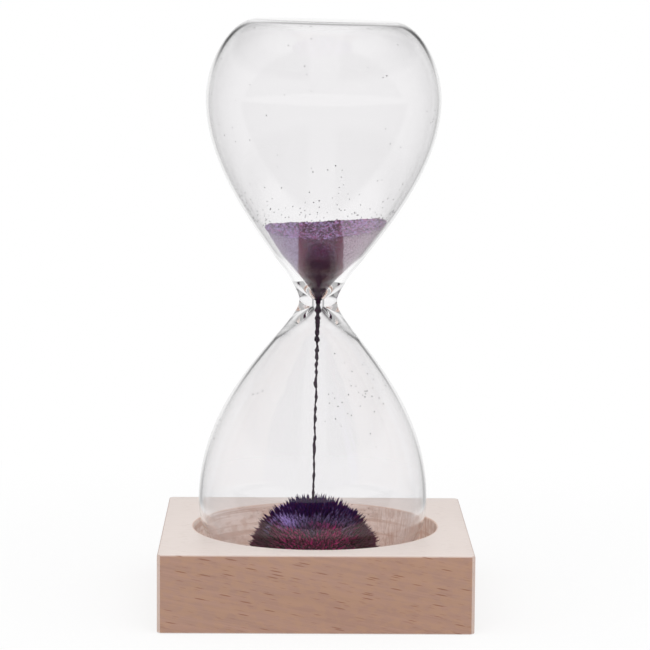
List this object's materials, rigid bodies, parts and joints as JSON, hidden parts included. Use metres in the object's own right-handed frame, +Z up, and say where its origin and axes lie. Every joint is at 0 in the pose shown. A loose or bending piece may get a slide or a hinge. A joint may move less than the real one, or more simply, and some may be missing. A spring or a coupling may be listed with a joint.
{
  "type": "magnetic hourglass",
  "caption": "Blown hourglass with iron sand, standing in a round recess of a square wooden base whose hidden magnet draws the fallen sand into a spiked pile.",
  "frame": {"origin": "middle of the base's underside", "axes": "+Z up along the glass, -Y towards the viewer of the picture, +X to the right"},
  "size_m": [0.07, 0.07, 0.134],
  "materials": {
    "beech": "sanded, unvarnished beech",
    "magnet": "sintered ferrite, matt",
    "felt": "pressed felt",
    "glass": "clear, fire polished",
    "iron_sand": "fine filings, dyed violet, sparkling"
  },
  "bodies": {
    "base": {"base_block": "beech", "base_magnet": "magnet", "magnet_cover": "felt"},
    "glass": {"upper_bulb": "glass", "lower_bulb": "glass", "upper_sand": "iron_sand", "sand_stream": "iron_sand", "sand_pile": "iron_sand"}
  },
  "joints": [
    {"name": "glass_lift", "type": "slide", "parent": "base", "child": "glass", "axis": [0, 0, 1], "range_m": [0, 0.04]}
  ]
}
